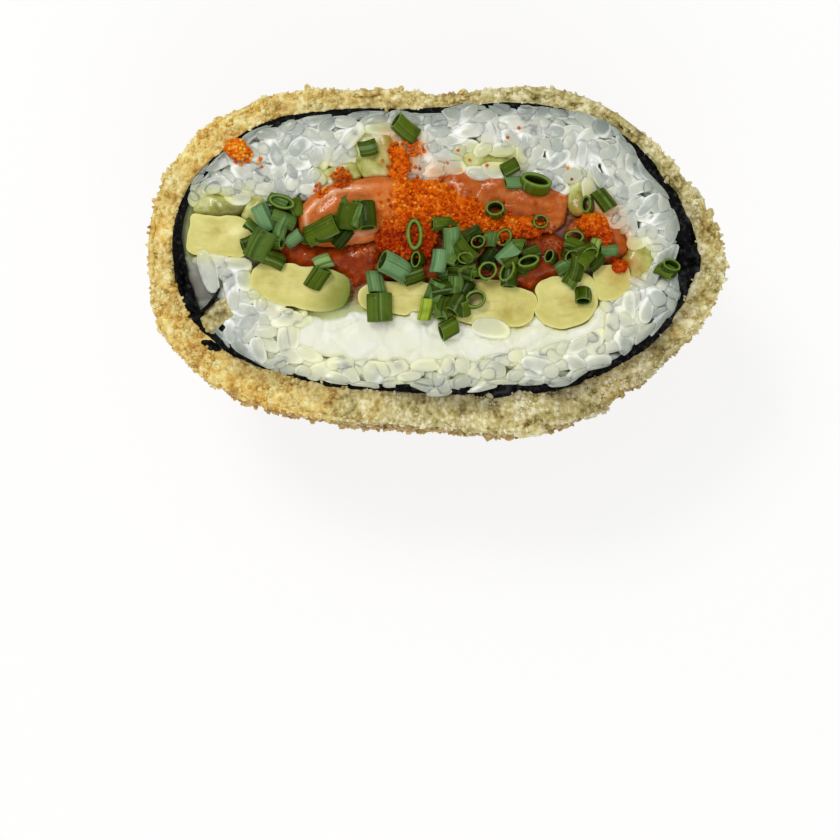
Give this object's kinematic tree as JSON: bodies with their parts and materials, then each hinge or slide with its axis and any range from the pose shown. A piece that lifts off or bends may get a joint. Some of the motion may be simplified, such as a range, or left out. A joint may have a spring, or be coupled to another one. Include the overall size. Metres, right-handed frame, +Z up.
{
  "type": "sushi burger half",
  "caption": "Half of a breaded, seaweed-wrapped sushi burger, cut face up: rice, salmon, avocado, cucumber, cream cheese, roe and chives.",
  "frame": {"origin": "middle of the bounding box's base, on the flat spot that the half rests on", "axes": "+X along the cut face, +Y from the lower bed of rice to the upper one, +Z up out of the cut face"},
  "size_m": [0.1194, 0.072, 0.0603],
  "materials": {
    "coating": "fried breadcrumb, rough and open",
    "seaweed": "dry sheet, dull black-green",
    "rice": "cooked grains, slightly glossy and translucent",
    "cream_cheese": "smooth and moist",
    "salmon": "raw fish, moist",
    "avocado": "soft, slightly moist",
    "cucumber": "moist and translucent",
    "roe": "glossy translucent eggs",
    "chives": "fresh cut green tubes"
  },
  "bodies": {
    "root": {"coating": "coating", "loose_crumb": "coating", "seaweed": "seaweed", "rice_upper": "rice", "rice_lower": "rice", "cream_cheese": "cream_cheese", "salmon_upper_left": "salmon", "salmon_upper_right": "salmon", "salmon_lower_left": "salmon", "salmon_lower_middle": "salmon", "salmon_lower_right": "salmon", "salmon_right": "salmon", "avocado_1": "avocado", "avocado_2": "avocado", "avocado_3": "avocado", "avocado_4": "avocado", "avocado_5": "avocado", "avocado_6": "avocado", "cucumber_1": "cucumber", "cucumber_2": "cucumber", "cucumber_3": "cucumber", "cucumber_4": "cucumber", "cucumber_5": "cucumber", "cucumber_6": "cucumber", "cucumber_7": "cucumber", "roe_heap": "roe", "roe_clump_left": "roe", "roe_clump_right": "roe", "roe_clump_low": "roe", "chives_left": "chives", "chives_upper": "chives", "chives_middle": "chives", "chives_right": "chives"}
  },
  "joints": []
}
